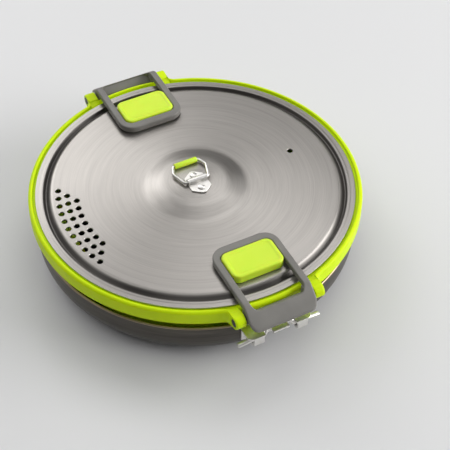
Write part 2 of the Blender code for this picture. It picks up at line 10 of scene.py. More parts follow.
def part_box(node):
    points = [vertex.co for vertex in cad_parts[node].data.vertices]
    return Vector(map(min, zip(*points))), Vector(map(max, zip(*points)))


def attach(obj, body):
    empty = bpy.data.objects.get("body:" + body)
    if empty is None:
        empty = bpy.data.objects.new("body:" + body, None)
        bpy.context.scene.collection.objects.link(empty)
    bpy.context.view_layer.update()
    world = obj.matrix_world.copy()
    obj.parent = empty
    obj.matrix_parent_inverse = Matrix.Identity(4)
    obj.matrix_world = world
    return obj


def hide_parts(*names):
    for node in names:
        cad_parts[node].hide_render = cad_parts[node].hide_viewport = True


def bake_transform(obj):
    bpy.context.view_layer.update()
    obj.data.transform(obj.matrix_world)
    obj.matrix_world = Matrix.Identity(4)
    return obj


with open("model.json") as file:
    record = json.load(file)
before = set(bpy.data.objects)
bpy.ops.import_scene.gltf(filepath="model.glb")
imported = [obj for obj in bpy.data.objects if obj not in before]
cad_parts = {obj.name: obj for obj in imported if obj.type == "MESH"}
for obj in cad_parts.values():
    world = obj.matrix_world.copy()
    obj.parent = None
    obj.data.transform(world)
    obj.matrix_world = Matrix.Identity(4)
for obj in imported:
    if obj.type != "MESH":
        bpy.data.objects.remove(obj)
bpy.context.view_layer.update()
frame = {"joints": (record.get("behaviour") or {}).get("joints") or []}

MM = 0.001
ROUND = 192              # segments round a turned part
ARC_STEP = math.radians(9)

# ---- sizes in millimetres ----
PAN_CORNER = 24.0
PAN_WALL = 2.0
PAN_RIVET_TURN = math.radians(8.4)
PAN_RIVET_Z = 23.8
BARE_EDGE = 1.5          # how far down the pan's edge its bare metal shows
RIM_TOP = 51.0
RIM_BOTTOM = 40.6
RIM_RADIUS = 108.1
RIM_EDGE = 2.0           # rounding of the lip's outer edge
LIP_EDGE = 0.7
LIP_RADIUS = 105.4
LEDGE_Z = 48.7
RING_INNER = 92.5
RING_LOW = 39.9
MOUTH_RADIUS = 98.2
LUG_FROM = 23.3
LUG_TO = 30.0
LUG_NOSE = 4.3
LUG_FLARE = 4.2
RELIEF_OUT = 105.5       # the ring is cut back to this between its lugs
RELIEF_Z = 43.4
PIN_RADIUS = 2.45
BORE_RADIUS = 2.75
LATCH_HALF_WIDTH = 22.5
LATCH_INNER = -50.3
LATCH_OUTER = 10.6
LATCH_TOP = 9.4
LATCH_THICKNESS = 4.4
LATCH_BEND = -4.0
BEND_SOFTNESS = 5.0
TONGUE_SLOPE = 1.1
TONGUE_TAPER = 2.7
HUB_RADIUS = 2.8
WINDOW_INNER = -44.8
WINDOW_OUTER = 2.3
WINDOW_HALF_WIDTH = 18.0
BARREL_RADIUS = 3.9
BARREL_FROM = 17.4
BARREL_TO = 22.4
BORE_FROM = 17.6
BORE_TO = 24.0
HUB_END = 18.3
PIN_FROM = 17.8
PIN_TO = 30.3
INNER_ROUND = 10.0       # corners of the latch plate, towards the lid's middle
PLATE_ROUND = 5.0
PAD_OUTER = -22.4
WEB_LOW = 6.4            # the web in the plate that the pad is moulded round
WEB_HIGH = 7.6
PAD_TOP = 10.2
PAD_LOW = 4.1
PAD_EDGE = 1.2
PAD_DISH = 0.34
LID_TOP = 51.3
LID_THICKNESS = 1.1
BOSS_HEIGHT = 3.8
GROOVE_FROM = 94.0       # the band of the lid's groove that gets painted shade
GROOVE_TO = 98.7
HOLE_RADIUS = 1.9
HOLE_PITCH = 7.0
STRAINER_ROWS = ((77.3, 7), (83.0, 9), (88.7, 11))
VENT_AT = 70.0
BASE_Z = 9.8
BRACKET_FRONT = 117.0
BRACKET_HALF_WIDTH = 22.0
BRACKET_PLATE_Z = 30.6
BRACKET_STEEL = 1.5
KNUCKLE_RADIUS = 4.1
KNUCKLE_FROM = 11.5
KNUCKLE_TO = 18.5
SLOT_HALF_WIDTH = 2.6
FLANGE_LOW = 19.0
FLANGE_HALF_ANGLE = 11.3
PAN_RIVET_HEAD = 3.3
PAN_RIVET_SHANK = 2.0
HANDLE_WIRE = 1.7
HANDLE_HALF_WIDTH = 8.0
HANDLE_OVER_RIM = 34.45
GRIP_START = -58.0
GRIP_RADIUS = 3.4
GRIP_BORE = 2.05
GRIP_WALL_STEP = 0.35    # the grip is this much thinner between its end collars
HANDLE_PIVOT_END = 28.0
HANDLE_TIP = 10.0
BAIL_WIRE = 1.0
BAIL_REACH = 17.0
BAIL_SLEEVE = 1.9
SLEEVE_HALF_LENGTH = 8.0
RIVET_HEAD = 2.3
RIVET_SHANK = 1.2
RIVET_HOLE = 1.5
STRAP_STEEL = 0.8

# ---- camera and lights: angles in degrees, distances in metres ----
CAMERA_HEADING = 27.61
CAMERA_ELEVATION = 46.583
CAMERA_ROLL = 0.571
CAMERA_DISTANCE = 0.7889
CAMERA_LENS = 100.45
CAMERA_AIM = Vector((0.4, -40.9, RIM_TOP)) * MM
LIGHT_DISTANCE = 1.5
WORLD_STRENGTH = 0.03


def place_of(joint_name):
    """A hinge's place, in millimetres."""
    joint = next(j for j in frame["joints"] if j["name"] == joint_name)
    return Vector(joint["pos_m"]) / MM


def box_mm(node):
    low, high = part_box(node)
    return low / MM, high / MM


PAN_RADIUS = box_mm("pan_body")[1].x
PAN_HEIGHT = box_mm("pan_body")[1].z
LID_RADIUS = box_mm("lid")[1].x
FRONT_HINGE = place_of("front_latch_swing")
REAR_HINGE = place_of("rear_latch_swing")
PAN_HINGE = place_of("pan_handle_swing")
BAIL_AXIS = place_of("bail_swing")
HINGE_OUT = -FRONT_HINGE.y
HINGE_Z = FRONT_HINGE.z
RIVET_PLACES = (BAIL_AXIS.y - 6.6, BAIL_AXIS.y + 5.2)


# ---- outlines and meshes ----

def rounded(points, closed=True, step=ARC_STEP):
    """Corners given as (a, b, fillet radius) become an outline with true arcs."""
    path = []
    last = len(points) - 1
    for k, (a, b, fillet) in enumerate(points):
        corner = Vector((a, b))
        if fillet <= 0 or (not closed and k in (0, last)):
            path.append(corner)
            continue
        before = Vector(points[k - 1][:2]) - corner
        after = Vector(points[(k + 1) % (last + 1)][:2]) - corner
        half = before.angle(after) / 2
        reach = min(fillet / math.tan(half), 0.49 * before.length, 0.49 * after.length)
        radius = reach * math.tan(half)
        centre = corner + (before.normalized() + after.normalized()).normalized() * (
            radius / math.sin(half))
        start = corner + before.normalized() * reach - centre
        end = corner + after.normalized() * reach - centre
        sweep = math.atan2(start.x * end.y - start.y * end.x, start.dot(end))
        steps = max(2, math.ceil(abs(sweep) / step))
        for j in range(steps + 1):
            turn = sweep * j / steps
            path.append(centre + Vector((
                start.x * math.cos(turn) - start.y * math.sin(turn),
                start.x * math.sin(turn) + start.y * math.cos(turn))))
    return path


def arc(centre, radius, start, end, count):
    """Points round a circle between two angles in degrees."""
    angles = [math.radians(start + (end - start) * k / (count - 1)) for k in range(count)]
    return [Vector((centre[0] + radius * math.cos(a), centre[1] + radius * math.sin(a)))
            for a in angles]


def lathe(outline, closed=True, segments=ROUND, centre=(0, 0)):
    """Turn (radius, z) points about a vertical line. Points on the axis become poles."""
    verts, rows = [], []
    for radius, z in outline:
        if radius < 1e-6:
            rows.append([len(verts)] * segments)
            verts.append((centre[0], centre[1], z))
            continue
        rows.append(list(range(len(verts), len(verts) + segments)))
        for k in range(segments):
            angle = 2 * math.pi * k / segments
            verts.append((centre[0] + radius * math.cos(angle),
                          centre[1] + radius * math.sin(angle), z))
    pairs = list(zip(rows, rows[1:])) + ([(rows[-1], rows[0])] if closed else [])
    return verts, quads(pairs)


def quads(pairs, wrap=True):
    """Faces between pairs of vertex rows."""
    faces = []
    for low, high in pairs:
        count = len(low)
        for k in range(count if wrap else count - 1):
            n = (k + 1) % count
            face = list(dict.fromkeys((low[k], low[n], high[n], high[k])))
            if len(face) > 2:
                faces.append(face)
    return faces


def loft(sections, closed=False, caps=True):
    """Skin closed sections of equal length."""
    count = len(sections[0])
    verts = [p for section in sections for p in section]
    rows = [list(range(k * count, (k + 1) * count)) for k in range(len(sections))]
    pairs = list(zip(rows, rows[1:])) + ([(rows[-1], rows[0])] if closed else [])
    faces = quads(pairs)
    if caps and not closed:
        faces += [rows[0], rows[-1]]
    return verts, faces


def tube(path, radius, sides=16, closed=False):
    """Sweep a circle along a path without twist. Radius may be a list, one for each point."""
    path = [Vector(p) for p in path]
    count = len(path)
    radii = radius if isinstance(radius, list) else [radius] * count
    normal, sections = None, []
    for k, point in enumerate(path):
        after = path[(k + 1) % count] if closed else path[min(k + 1, count - 1)]
        before = path[k - 1] if closed or k else path[0]
        along = (after - before).normalized()
        normal = normal or along.orthogonal()
        normal = (normal - along * normal.dot(along)).normalized()
        side = along.cross(normal)
        turns = [2 * math.pi * (j + 0.5) / sides for j in range(sides)]
        sections.append([point + radii[k] * (math.cos(t) * normal + math.sin(t) * side)
                         for t in turns])
    return loft(sections, closed)


def bent(points, radius, steps=7):
    """A polyline with its corners turned into arcs. Each corner may carry its own radius."""
    points = [Vector(p) for p in points]
    path = [points[0]]
    for before, corner, after in zip(points, points[1:], points[2:]):
        into, out = (before - corner), (after - corner)
        half = into.angle(out) / 2
        if half > math.radians(88):
            path.append(corner)
            continue
        reach = min(radius / math.tan(half), 0.49 * into.length, 0.49 * out.length)
        size = reach * math.tan(half)
        centre = corner + (into.normalized() + out.normalized()).normalized() * (
            size / math.sin(half))
        start = corner + into.normalized() * reach - centre
        end = corner + out.normalized() * reach - centre
        for k in range(steps + 1):
            path.append(centre + start.slerp(end, k / steps))
    path.append(points[-1])
    return path


def prism(outline, low, high, axis="Z"):
    """Extrude an outline along an axis."""
    order = {"Z": lambda a, b, c: (a, b, c), "X": lambda a, b, c: (c, a, b),
             "Y": lambda a, b, c: (a, c, b)}[axis]
    return loft([[order(a, b, level) for a, b in outline] for level in (low, high)])


def bevelled(outline, low, high, edge, axis="Z", steps=3):
    """Extrude an outline with rounded edges at both ends."""
    order = {"Z": lambda a, b, c: (a, b, c), "X": lambda a, b, c: (c, a, b),
             "Y": lambda a, b, c: (a, c, b)}[axis]
    sections = []
    for k in range(steps + 1):
        turn = math.pi / 2 * k / steps
        sections.append((edge * (1 - math.sin(turn)), low + edge * (1 - math.cos(turn))))
    sections += [(inset, low + high - level) for inset, level in reversed(sections)]
    return loft([[order(a, b, level) for a, b in inset_outline(outline, inset)]
                 for inset, level in sections])


def inset_outline(outline, inset):
    """Move each point of an outline inwards, along the bisector of its edges."""
    if inset < 1e-9:
        return [Vector(p) for p in outline]
    points = [Vector(p) for p in outline]
    count = len(points)
    area = sum(points[k - 1].x * points[k].y - points[k].x * points[k - 1].y
               for k in range(count))
    made = []
    for k in range(count):
        into = (points[k] - points[k - 1]).normalized()
        out = (points[(k + 1) % count] - points[k]).normalized()
        both = into + out
        inward = Vector((-both.y, both.x)).normalized() * (1 if area > 0 else -1)
        made.append(points[k] + inward * inset / max(0.5, math.cos(into.angle(out) / 2)))
    return made


def moved(shape, turn=0.0, at=(0, 0, 0)):
    """Turn a (verts, faces) shape about Z and move it."""
    place = Matrix.Translation(Vector(at)) @ Matrix.Rotation(turn, 4, "Z")
    return [place @ Vector(v) for v in shape[0]], shape[1]


def together(*shapes):
    """Separate closed shapes as one."""
    verts, faces = [], []
    for part_verts, part_faces in shapes:
        first = len(verts)
        verts += part_verts
        faces += [[first + v for v in face] for face in part_faces]
    return verts, faces


def mesh_of(name, shape):
    mesh = bpy.data.meshes.new(name)
    mesh.from_pydata([Vector(v) * MM for v in shape[0]], [], shape[1])
    work = bmesh.new()
    work.from_mesh(mesh)
    bmesh.ops.recalc_face_normals(work, faces=work.faces)
    work.to_mesh(mesh)
    work.free()
    return mesh


def solid(name, shape):
    made = bpy.data.objects.new(name, mesh_of(name, shape))
    bpy.context.scene.collection.objects.link(made)
    return made


def combine(target, shape, operation="DIFFERENCE"):
    """Cut a shape from an object's mesh, or join it on."""
    tool = solid("tool", shape)
    step = target.modifiers.new("step", "BOOLEAN")
    step.operation = operation
    step.object = tool
    step.solver = "EXACT"
    shown = target.evaluated_get(bpy.context.evaluated_depsgraph_get())
    mesh = bpy.data.meshes.new_from_object(shown)
    target.modifiers.clear()
    target.data = mesh
    bpy.data.objects.remove(tool)


def finish_piece(piece, finish, body, nodes, sharp=40):
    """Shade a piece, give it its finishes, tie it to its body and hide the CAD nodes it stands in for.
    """
    piece.data.shade_smooth()
    piece.data.set_sharp_from_angle(angle=math.radians(sharp))
    piece.data.materials.clear()
    for one in finish if isinstance(finish, list) else [finish]:
        piece.data.materials.append(one)
    if body:
        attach(piece, body)
    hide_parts(*nodes)
    return piece


# ---- materials ----

class Finish:
    """A Principled material with the few node helpers that the finishes share."""

    def __init__(self, name, colour, roughness, metallic=0.0, **more):
        self.material = bpy.data.materials.new(name)
        self.material.use_nodes = True
        self.tree = self.material.node_tree
        self.shader = self.tree.nodes["Principled BSDF"]
        self.set("Base Color", (*colour, 1.0))
        self.set("Roughness", roughness)
        self.set("Metallic", metallic)
        for socket, value in more.items():
            self.set(socket.replace("_", " "), value)
        self.bump = None

    def set(self, socket, value):
        self.shader.inputs[socket].default_value = value

    def node(self, kind, **values):
        made = self.tree.nodes.new(kind)
        for key, value in values.items():
            if hasattr(made, key):
                setattr(made, key, value)
            else:
                made.inputs[key.replace("_", " ")].default_value = value
        return made

    def link(self, start, end):
        self.tree.links.new(start, end)

    def math(self, operation, a, b=None, c=None):
        made = self.node("ShaderNodeMath", operation=operation)
        for socket, value in zip(made.inputs, (a, b, c)):
            if value is None:
                continue
            if isinstance(value, (int, float)):
                socket.default_value = value
            else:
                self.link(value, socket)
        return made.outputs[0]

    def place(self):
        return self.node("ShaderNodeTexCoord").outputs["Object"]

    def radial(self):
        """Distance from the Z axis, the direction out from it, and the height."""
        split = self.node("ShaderNodeSeparateXYZ")
        self.link(self.place(), split.inputs[0])
        flat = self.node("ShaderNodeCombineXYZ")
        self.link(split.outputs[0], flat.inputs[0])
        self.link(split.outputs[1], flat.inputs[1])
        length = self.node("ShaderNodeVectorMath", operation="LENGTH")
        self.link(flat.outputs[0], length.inputs[0])
        unit = self.node("ShaderNodeVectorMath", operation="NORMALIZE")
        self.link(flat.outputs[0], unit.inputs[0])
        return length.outputs["Value"], unit.outputs[0], split.outputs[2]

    def noise(self, scale, detail=3.0, vector=None, w=None, rough=0.5):
        if w is not None:
            made = self.node("ShaderNodeTexNoise", noise_dimensions="1D")
            self.link(w, made.inputs["W"])
        else:
            made = self.node("ShaderNodeTexNoise")
            self.link(vector or self.place(), made.inputs["Vector"])
        made.inputs["Scale"].default_value = scale
        made.inputs["Detail"].default_value = detail
        made.inputs["Roughness"].default_value = rough
        return made.outputs["Fac"]

    def streaks(self, around, across, height=0.0):
        """Noise in short arcs round the Z axis: lines that run with the turning tool."""
        radius, unit, z = self.radial()
        stretched = self.node("ShaderNodeVectorMath", operation="SCALE")
        self.link(unit, stretched.inputs[0])
        stretched.inputs["Scale"].default_value = around
        lift = self.node("ShaderNodeCombineXYZ")
        level = self.math("MULTIPLY", radius, across)
        if height:
            level = self.math("MULTIPLY_ADD", z, height, level)
        self.link(level, lift.inputs[2])
        total = self.node("ShaderNodeVectorMath", operation="ADD")
        self.link(stretched.outputs[0], total.inputs[0])
        self.link(lift.outputs[0], total.inputs[1])
        return self.noise(1.0, 3.0, total.outputs[0], rough=0.6)

    def ramp(self, value, low, high, start=0.3, end=0.7):
        made = self.node("ShaderNodeMapRange")
        self.link(value, made.inputs["Value"])
        for socket, number in (("From Min", start), ("From Max", end),
                               ("To Min", low), ("To Max", high)):
            made.inputs[socket].default_value = number
        return made.outputs["Result"]

    def tint(self, value, first, second, start=0.3, end=0.7):
        """Colour the shader between two colours."""
        mix = self.node("ShaderNodeMix", data_type="RGBA")
        self.link(self.ramp(value, 0.0, 1.0, start, end), mix.inputs["Factor"])
        mix.inputs[6].default_value = (*first, 1.0)
        mix.inputs[7].default_value = (*second, 1.0)
        self.link(mix.outputs[2], self.shader.inputs["Base Color"])
        return mix.outputs[2]

    def roughen(self, value, low, high, start=0.3, end=0.7):
        self.link(self.ramp(value, low, high, start, end), self.shader.inputs["Roughness"])

    def relief(self, value, distance, strength=1.0):
        """Add a layer of bump, over the one before."""
        made = self.node("ShaderNodeBump")
        made.inputs["Strength"].default_value = strength
        made.inputs["Distance"].default_value = distance
        self.link(value, made.inputs["Height"])
        if self.bump:
            self.link(self.bump, made.inputs["Normal"])
        self.bump = made.outputs["Normal"]
        self.link(self.bump, self.shader.inputs["Normal"])


def turned_metal(name, first, second, roughness, anisotropy, depth=6e-6, groove=None):
    """Metal turned on a lathe: concentric lines, broken into arcs, and painted shade that darkens the
    groove.
    """
    fine = 1500.0
    made = Finish(name, first, roughness, 1.0, Anisotropic=anisotropy)
    made.set("Anisotropic Rotation", 0.25)
    tangent = made.node("ShaderNodeTangent", direction_type="RADIAL", axis="Z")
    made.link(tangent.outputs[0], made.shader.inputs["Tangent"])
    arcs = made.streaks(1.6, 1300.0)
    wide = made.streaks(1.1, 300.0)
    both = made.math("MULTIPLY_ADD", arcs, 0.6, made.math("MULTIPLY", wide, 0.4))
    turned = made.tint(both, first, second, 0.3, 0.7)
    made.roughen(arcs, roughness - 0.03, roughness + 0.04)
    radius = made.radial()[0]
    # painted shade: a near-black tint over the groove band, where shadow falls in the recess
    if groove:
        start, end, groove_shade = groove
        soft = 0.8 * MM
        inside = made.math("MULTIPLY", made.ramp(radius, 0.0, 1.0, start - soft, start + soft),
                           made.ramp(radius, 1.0, 0.0, end - soft / 2, end + soft / 2))
        mix = made.node("ShaderNodeMix", data_type="RGBA")
        made.link(inside, mix.inputs["Factor"])
        made.link(turned, mix.inputs[6])
        mix.inputs[7].default_value = (*groove_shade, 1.0)
        made.link(mix.outputs[2], made.shader.inputs["Base Color"])
    made.relief(made.noise(1.0, 4.0, w=made.math("MULTIPLY", radius, fine), rough=0.7), depth)
    return made.material


def moulded(name, first, second, roughness, grain, depth, **more):
    """Moulded plastic or rubber: an almost even colour with a fine grain."""
    made = Finish(name, first, roughness, 0.0, **more)
    made.tint(made.noise(60.0, 2.0), first, second)
    made.roughen(made.noise(900.0, 2.0), roughness - 0.05, roughness + 0.07)
    made.relief(made.noise(grain, 2.0), depth, 0.6)
    return made.material


# the lid's groove band carries a near-black painted shade
lid_metal = turned_metal("turned_aluminium", (0.365, 0.346, 0.325), (0.475, 0.45, 0.425),
                         0.38, 0.65, depth=9e-6,
                         groove=(GROOVE_FROM * MM, GROOVE_TO * MM, (0.12, 0.112, 0.105)))
base_metal = turned_metal("base_aluminium", (0.10, 0.095, 0.09), (0.15, 0.142, 0.134), 0.36, 0.5)

lime = moulded("lime_nylon", (0.63, 0.87, 0.002), (0.68, 0.90, 0.004), 0.42, 700.0, 2.5e-5,
               Subsurface_Weight=0.1, Subsurface_Scale=0.002, Specular_IOR_Level=0.15)
silicone = moulded("lime_silicone", (0.66, 0.90, 0.03), (0.71, 0.93, 0.04), 0.48, 500.0, 2e-5,
                   Subsurface_Weight=0.3, Subsurface_Scale=0.003)
grey = moulded("grey_nylon", (0.18, 0.172, 0.158), (0.22, 0.212, 0.195), 0.46, 1300.0, 4e-5)


def anodised():
    """Hard anodised aluminium: dark, satin, with faint turning lines round the wall."""
    made = Finish("anodised_aluminium", (0.085, 0.078, 0.07), 0.36, 0.75)
    lines = made.streaks(3.0, 500.0, 900.0)
    made.tint(lines, (0.07, 0.063, 0.056), (0.12, 0.108, 0.094))
    made.roughen(made.streaks(4.0, 900.0, 1400.0), 0.3, 0.44)
    made.relief(made.noise(2600.0, 2.0), 2e-5, 0.5)
    return made.material


def bare_metal():
    """The pan's edge, where the tool cut through the anodising."""
    made = Finish("bare_edge", (0.36, 0.28, 0.19), 0.36, 1.0)
    made.tint(made.streaks(6.0, 800.0, 2500.0), (0.28, 0.215, 0.145), (0.42, 0.34, 0.24))
    return made.material


def steel_finish(name, roughness):
    """Tumbled stainless steel, with faint marks."""
    made = Finish(name, (0.85, 0.83, 0.80), roughness, 1.0)
    made.tint(made.noise(220.0, 3.0), (0.80, 0.78, 0.75), (0.88, 0.86, 0.83))
    made.roughen(made.noise(500.0, 3.0), roughness - 0.03, roughness + 0.05)
    return made.material


pan_metal = anodised()
edge_metal = bare_metal()
steel = steel_finish("stainless_steel", 0.36)
pin_dark = moulded("pin_nylon", (0.05, 0.05, 0.05), (0.07, 0.07, 0.068), 0.4, 900.0, 3e-5)


# ---- fry pan ----

def fry_pan():
    """The dish, with its bare rounded edge, a faint ring step below and grooves underneath."""
    side, centre = PAN_RADIUS, (PAN_RADIUS - PAN_CORNER, PAN_CORNER)
    edge = PAN_WALL / 2
    outline = [Vector((0, 0.35)), Vector((17.0, 0.35))]
    for groove in range(5):
        out = 22.0 + 11.0 * groove
        outline += [Vector((out - 0.9, 0.0)), Vector((out - 0.3, 0.35)),
                    Vector((out + 0.3, 0.35)), Vector((out + 0.9, 0.0))]
    outline += arc(centre, PAN_CORNER, -90, 0, 28)
    outline += arc((side - edge, PAN_HEIGHT - edge), edge, 0, 180, 13)
    outline += arc(centre, PAN_CORNER - PAN_WALL, 0, -90, 24) + [Vector((0, PAN_WALL))]
    pan = solid("fry_pan_shell", lathe(outline, closed=False, segments=256))
    holes = [lathe([(0, PAN_RADIUS - 8), (2.3, PAN_RADIUS - 8), (2.3, PAN_RADIUS + 4),
                    (0, PAN_RADIUS + 4)], False, 24)]
    upright = Matrix.Rotation(math.radians(90), 4, "X")
    tools = []
    for turn in (-PAN_RIVET_TURN, PAN_RIVET_TURN):
        lying = ([upright @ Vector(v) for v in holes[0][0]], holes[0][1])
        tools.append(moved(lying, turn, (0, 0, PAN_RIVET_Z)))
    combine(pan, together(*tools))
    finish_piece(pan, [pan_metal, edge_metal], "fry_pan", ["pan_body"], 50)
    for face in pan.data.polygons:
        if face.center.z > (PAN_HEIGHT - BARE_EDGE) * MM:
            face.material_index = 1


def pan_bracket():
    """The steel hinge bracket: a curved flange, a slotted plate and two rolled knuckles."""
    inner = PAN_RADIUS + 0.35
    outer = inner + BRACKET_STEEL
    top = BRACKET_PLATE_Z + BRACKET_STEEL
    half, back = BRACKET_HALF_WIDTH, -math.sqrt(inner ** 2 - BRACKET_HALF_WIDTH ** 2) + 3.0
    plate = [(-half, back, 0), (-half, -BRACKET_FRONT, 4.0), (half, -BRACKET_FRONT, 4.0),
             (half, back, 0)]
    bracket = solid("pan_hinge_bracket", bevelled(rounded(plate), BRACKET_PLATE_Z, top, 0.35))
    flange = rounded([(inner - 1.0, FLANGE_LOW, 0), (outer, FLANGE_LOW, 0.4), (outer, top - 0.4, 0.0),
                      (inner - 1.0, top - 0.4, 0)])
    turns = [math.radians(-90 + FLANGE_HALF_ANGLE * (k / 24 - 1)) for k in range(49)]
    combine(bracket, loft([[(r * math.cos(t), r * math.sin(t), z) for r, z in flange]
                           for t in turns]), "UNION")
    axis = (PAN_HINGE.y, PAN_HINGE.z)
    web = arc(axis, KNUCKLE_RADIUS, 200, 380, 25)
    web += [Vector((axis[0] + 3.9, BRACKET_PLATE_Z + 0.3)),
            Vector((axis[0] - 3.5, BRACKET_PLATE_Z + 0.3))]
    knuckles = [bevelled(web, *sorted((s * KNUCKLE_FROM, s * KNUCKLE_TO)), 0.4, "X") for s in (-1, 1)]
    combine(bracket, together(*knuckles), "UNION")
    slots = []
    for side in (-1, 1):
        a, b = (side * HANDLE_HALF_WIDTH + edge * SLOT_HALF_WIDTH for edge in (-1, 1))
        slot = rounded([(a, -BRACKET_FRONT - 3, 0), (b, -BRACKET_FRONT - 3, 0),
                        (b, -outer - 1.35, 1.2), (a, -outer - 1.35, 1.2)])
        slots.append(prism(slot, BRACKET_PLATE_Z - 0.6, top + 3.0))
    combine(bracket, together(*slots))
    combine(bracket, tube([(-21, PAN_HINGE.y, PAN_HINGE.z), (21, PAN_HINGE.y, PAN_HINGE.z)],
                          HANDLE_WIRE + 0.3, 24))
    combine(bracket, lathe([(0, -5), (inner, -5), (inner, 60), (0, 60)], False, 256))
    finish_piece(bracket, steel, "fry_pan", ["pan_bracket"], 30)


def pan_rivets():
    """Round-headed rivets through the wall and the flange."""
    out, inn = PAN_RADIUS + 3.9, PAN_RADIUS - 4.3
    outline = [Vector((0, out))] + [Vector((PAN_RIVET_HEAD * math.sin(a), out - 1.2 * (1 - math.cos(a))))
                                    for a in [math.radians(10 * k) for k in range(1, 10)]]
    outline += [Vector(p) for p in ((PAN_RIVET_SHANK, out - 1.2), (PAN_RIVET_SHANK, inn + 1.3),
                                    (PAN_RIVET_HEAD, inn + 1.3),
                                    (3.25, inn + 0.8), (2.9, inn + 0.35), (2.2, inn), (0, inn))]
    shape = lathe(outline, False, 32)
    upright = Matrix.Rotation(math.radians(90), 4, "X")
    shape = ([upright @ Vector(v) for v in shape[0]], shape[1])
    for name, turn in (("left", -PAN_RIVET_TURN), ("right", PAN_RIVET_TURN)):
        rivet = solid(f"rivet_{name}", moved(shape, turn, (0, 0, PAN_RIVET_Z)))
        finish_piece(rivet, steel, "fry_pan", [f"pan_rivet_{name}"], 35)


def pan_handle():
    """The folded wire handle, and the silicone grip with two soft end collars."""
    floor_z = PAN_WALL + GRIP_RADIUS + 0.4
    x, out = HANDLE_HALF_WIDTH, PAN_HINGE.y
    down = [Vector((x, -a, b)) for a, b in arc(
        (PAN_RADIUS - PAN_CORNER, PAN_CORNER), PAN_CORNER - floor_z, 0, -90, 18)]
    start = [(HANDLE_PIVOT_END, out, PAN_HINGE.z), (x, out, PAN_HINGE.z), (x, out, HANDLE_OVER_RIM),
             (x, down[0].y, HANDLE_OVER_RIM), down[0]]
    side = bent(start, 2.6)[:-1] + down + [Vector((x, GRIP_START, floor_z))]
    loop = [Vector((a, b, floor_z)) for a, b in arc((0, HANDLE_TIP), x, 0, 180, 25)]
    other = [Vector((-p.x, p.y, p.z)) for p in reversed(side)]
    path = side + loop + other
    radii = [HANDLE_WIRE] * len(path)
    radii[0] = radii[-1] = HANDLE_WIRE - 0.35
    path.insert(1, path[0] + Vector((-0.35, 0, 0)))
    path.insert(-1, path[-1] + Vector((0.35, 0, 0)))
    radii = [radii[0]] + [HANDLE_WIRE] * (len(path) - 2) + [radii[-1]]
    wire = solid("handle_wire", tube(path, radii, 16))
    finish_piece(wire, steel, "pan_handle", ["pan_handle_wire"], 50)
    line = [side[-1], side[-1] + Vector((0, 0.5, 0)), side[-1] + Vector((0, 3.5, 0)),
            side[-1] + Vector((0, 4.4, 0)), *loop]
    line += [Vector((-p.x, p.y, p.z)) for p in reversed(line[:4])]
    thick = [GRIP_RADIUS - 0.5, GRIP_RADIUS, GRIP_RADIUS, GRIP_RADIUS - GRIP_WALL_STEP]
    radii = thick + [GRIP_RADIUS - GRIP_WALL_STEP] * len(loop) + thick[::-1]
    grip = solid("handle_grip", tube(line, radii, 24))
    away = Vector((0, -4, 0))
    combine(grip, tube([line[0] + away, *line[1:-1], line[-1] + away], GRIP_BORE, 16))
    finish_piece(grip, silicone, "pan_handle", ["pan_handle_grip"], 40)


# ---- collapsible pot ----

def pot_parts():
    """The base with its heat ring, the crimp ring, the silicone tiers and the thin folds."""
    low = BASE_Z
    cup = [(0, low + 0.3, 0), (24, low + 0.3, 0.4), (24.8, low, 0.4), (68, low, 0.4),
           (68.8, low + 0.3, 0.4), (73.0, low + 0.3, 0.4), (73.6, low, 0.4),
           (78.7, low, 4.2), (80.8, low + 7, 2.5), (80.8, 21.0, 0.4), (79.2, 21.0, 0.4),
           (79.2, low + 6, 3.2), (76.4, low + 1.6, 3.0), (60, low + 1.6, 0), (0, low + 1.6, 0)]
    cup_outline = rounded(cup, closed=False)
    base = solid("pot_base_cup", lathe(cup_outline, False, 192))
    finish_piece(base, base_metal, "pot_base", ["pot_base"])
    tier = [(81.1, 14.0, 0.3), (82.3, 14.0, 0.3), (82.3, 19.5, 0.5), (84.2, 20.2, 0.9),
            (85.0, 35.0, 1.0), (82.2, 35.0, 1.0), (81.6, 21.3, 0.6), (81.1, 21.0, 0.2)]
    rings = [("pot_tier_low", tier, "base_tier", "pot_base", silicone, "lime_silicone"),
             ("crimp_ring", [(82.6, 14.0, 0.3), (83.8, 14.0, 0.5), (84.2, 18.8, 0.4),
                             (82.6, 18.8, 0.3)],
              "base_crimp_ring", "pot_base", steel, "stainless_steel")]
    for name, node, body in (("pot_tier_middle", "mid_tier", "pot_mid"),
                             ("pot_tier_top", "rim_tier", "rim")):
        (_, _, bottom), (outer, _, top) = box_mm(node)
        band = [(outer - 3.1, bottom, 0.8), (outer - 0.5, bottom, 0.9), (outer, top, 0.9),
                (outer - 3.1, top, 0.8)]
        rings.append((name, band, node, body, silicone, "lime_silicone"))
    for name, outline, node, body, finish, slot_name in rings:
        ring = solid(name, lathe(rounded(outline)))
        finish_piece(ring, finish, body, [node])
    folds = (("wall_fold_low", "lower_fold", "pot_base", "pot_mid"),
             ("wall_fold_high", "upper_fold", "pot_mid", "rim"))
    for name, node, inner_body, outer_body in folds:
        (_, _, bottom), (outer, _, top) = box_mm(node)
        inner = outer - 1.0
        rows = 28
        wall = [Vector((outer, bottom + (top - bottom) * k / rows)) for k in range(rows + 1)]
        wall += [Vector((inner, top - (top - bottom) * k / rows)) for k in range(rows + 1)]
        fold = solid(name, lathe(wall))
        finish_piece(fold, silicone, None, [node], 60)
        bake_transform(fold)


# ---- rim ring ----

OUTER_POINTS = 60


def resampled(path, count):
    """Points at equal steps along an open path."""
    lengths = [0.0]
    for a, b in zip(path, path[1:]):
        lengths.append(lengths[-1] + (b - a).length)
    made, k = [], 0
    for j in range(count):
        want = lengths[-1] * j / (count - 1)
        while k < len(path) - 2 and lengths[k + 1] < want:
            k += 1
        span = lengths[k + 1] - lengths[k]
        made.append(path[k].lerp(path[k + 1], (want - lengths[k]) / span if span else 0.0))
    return made


